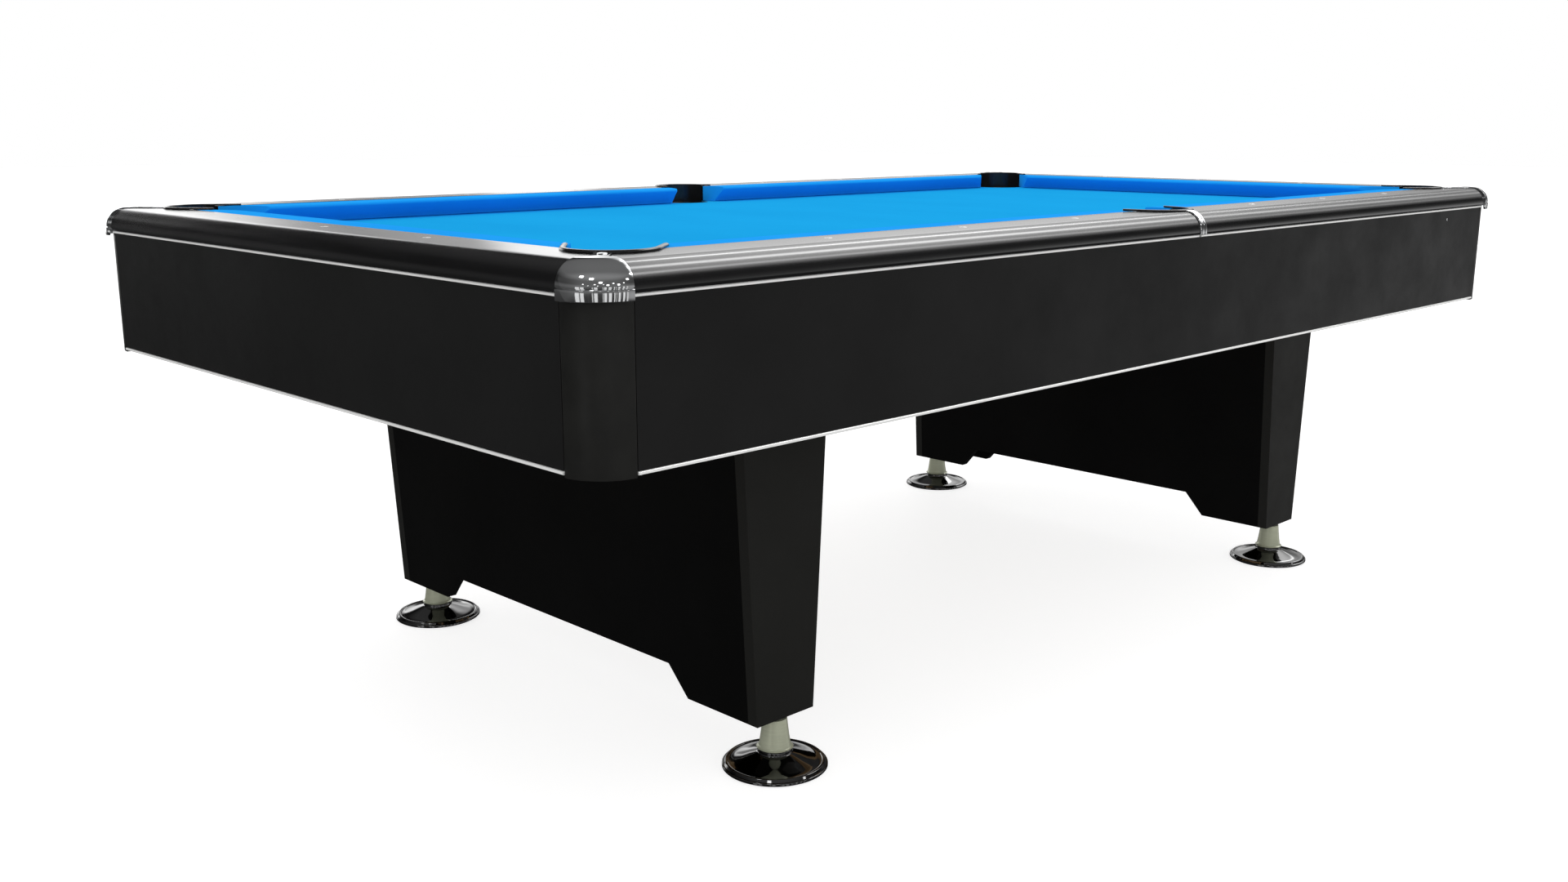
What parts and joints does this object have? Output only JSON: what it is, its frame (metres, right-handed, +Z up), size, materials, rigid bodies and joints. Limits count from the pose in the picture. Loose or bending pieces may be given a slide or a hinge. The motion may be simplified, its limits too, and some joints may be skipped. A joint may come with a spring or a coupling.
{
  "type": "pool table",
  "caption": "Free-standing six-pocket pool table with a cloth-covered slate bed, rounded black rails and two box pedestals on levelling feet.",
  "frame": {"origin": "on the floor under the middle of the table", "axes": "+X along the table's length, +Y across it, +Z up"},
  "size_m": [2.5578, 1.4402, 0.821],
  "materials": {
    "cabinet_laminate": "satin black laminate",
    "rail_laminate": "satin black rail, lightly polished",
    "pedestal_laminate": "satin black laminate",
    "post_plastic": "satin black moulded corner",
    "bed_cloth": "bright blue woven billiard cloth",
    "cushion_cloth": "blue cloth over rubber cushion",
    "slate": "honed grey slate",
    "frame_wood": "planed softwood",
    "pocket_plastic": "moulded black liner",
    "chrome": "polished chrome",
    "foot_chrome": "polished dark chrome",
    "stem_steel": "brushed steel",
    "bright_trim": "bright brushed aluminium"
  },
  "bodies": {
    "table": {"slate": "slate", "bed_cloth": "bed_cloth", "end_rail_left": "rail_laminate", "end_cushion_left": "cushion_cloth", "end_rail_right": "rail_laminate", "end_cushion_right": "cushion_cloth", "side_rail_front_left": "rail_laminate", "side_cushion_front_left": "cushion_cloth", "side_rail_front_right": "rail_laminate", "side_cushion_front_right": "cushion_cloth", "side_rail_back_right": "rail_laminate", "side_cushion_back_right": "cushion_cloth", "side_rail_back_left": "rail_laminate", "side_cushion_back_left": "cushion_cloth", "pocket_liner_front_left": "pocket_plastic", "pocket_liner_front_right": "pocket_plastic", "pocket_liner_back_right": "pocket_plastic", "pocket_liner_back_left": "pocket_plastic", "pocket_liner_front_side": "pocket_plastic", "pocket_liner_back_side": "pocket_plastic", "corner_cap_front_left": "chrome", "corner_post_front_left": "post_plastic", "corner_cap_front_right": "chrome", "corner_post_front_right": "post_plastic", "corner_cap_back_right": "chrome", "corner_post_back_right": "post_plastic", "corner_cap_back_left": "chrome", "corner_post_back_left": "post_plastic", "side_casting_front": "chrome", "side_casting_back": "chrome", "apron_left": "cabinet_laminate", "upper_trim_left": "bright_trim", "lower_trim_left": "bright_trim", "apron_right": "cabinet_laminate", "upper_trim_right": "bright_trim", "lower_trim_right": "bright_trim", "apron_front": "cabinet_laminate", "upper_trim_front": "bright_trim", "lower_trim_front": "bright_trim", "apron_back": "cabinet_laminate", "upper_trim_back": "bright_trim", "lower_trim_back": "bright_trim", "cabinet_frame": "frame_wood", "pedestal_left_outer_panel": "pedestal_laminate", "pedestal_left_inner_panel": "pedestal_laminate", "pedestal_left_front_end": "pedestal_laminate", "pedestal_left_back_end": "pedestal_laminate", "pedestal_right_outer_panel": "pedestal_laminate", "pedestal_right_inner_panel": "pedestal_laminate", "pedestal_right_front_end": "pedestal_laminate", "pedestal_right_back_end": "pedestal_laminate"},
    "foot_front_left": {"foot_base_front_left": "foot_chrome"},
    "stem_front_left": {"foot_stem_front_left": "stem_steel"},
    "foot_front_right": {"foot_base_front_right": "foot_chrome"},
    "stem_front_right": {"foot_stem_front_right": "stem_steel"},
    "foot_back_right": {"foot_base_back_right": "foot_chrome"},
    "stem_back_right": {"foot_stem_back_right": "stem_steel"},
    "foot_back_left": {"foot_base_back_left": "foot_chrome"},
    "stem_back_left": {"foot_stem_back_left": "stem_steel"}
  },
  "joints": [
    {"name": "foot_height_front_left", "type": "slide", "parent": "table", "child": "foot_front_left", "axis": [0, 0, -1], "range_m": [0, 0.02]},
    {"name": "stem_turn_front_left", "type": "hinge", "parent": "foot_front_left", "child": "stem_front_left", "pos_m": [-0.775, -0.4845, 0.03], "axis": [0, 0, -1], "range_deg": [0, 3600]},
    {"name": "foot_height_front_right", "type": "slide", "parent": "table", "child": "foot_front_right", "axis": [0, 0, -1], "range_m": [0, 0.02]},
    {"name": "stem_turn_front_right", "type": "hinge", "parent": "foot_front_right", "child": "stem_front_right", "pos_m": [0.775, -0.4845, 0.03], "axis": [0, 0, -1], "range_deg": [0, 3600]},
    {"name": "foot_height_back_right", "type": "slide", "parent": "table", "child": "foot_back_right", "axis": [0, 0, -1], "range_m": [0, 0.02]},
    {"name": "stem_turn_back_right", "type": "hinge", "parent": "foot_back_right", "child": "stem_back_right", "pos_m": [0.775, 0.4845, 0.03], "axis": [0, 0, -1], "range_deg": [0, 3600]},
    {"name": "foot_height_back_left", "type": "slide", "parent": "table", "child": "foot_back_left", "axis": [0, 0, -1], "range_m": [0, 0.02]},
    {"name": "stem_turn_back_left", "type": "hinge", "parent": "foot_back_left", "child": "stem_back_left", "pos_m": [-0.775, 0.4845, 0.03], "axis": [0, 0, -1], "range_deg": [0, 3600]}
  ],
  "couplings": [
    {"joint": "stem_turn_front_left", "follows": "foot_height_front_left", "rad_per_m": 3141.6},
    {"joint": "stem_turn_front_right", "follows": "foot_height_front_right", "rad_per_m": 3141.6},
    {"joint": "stem_turn_back_right", "follows": "foot_height_back_right", "rad_per_m": 3141.6},
    {"joint": "stem_turn_back_left", "follows": "foot_height_back_left", "rad_per_m": 3141.6}
  ]
}
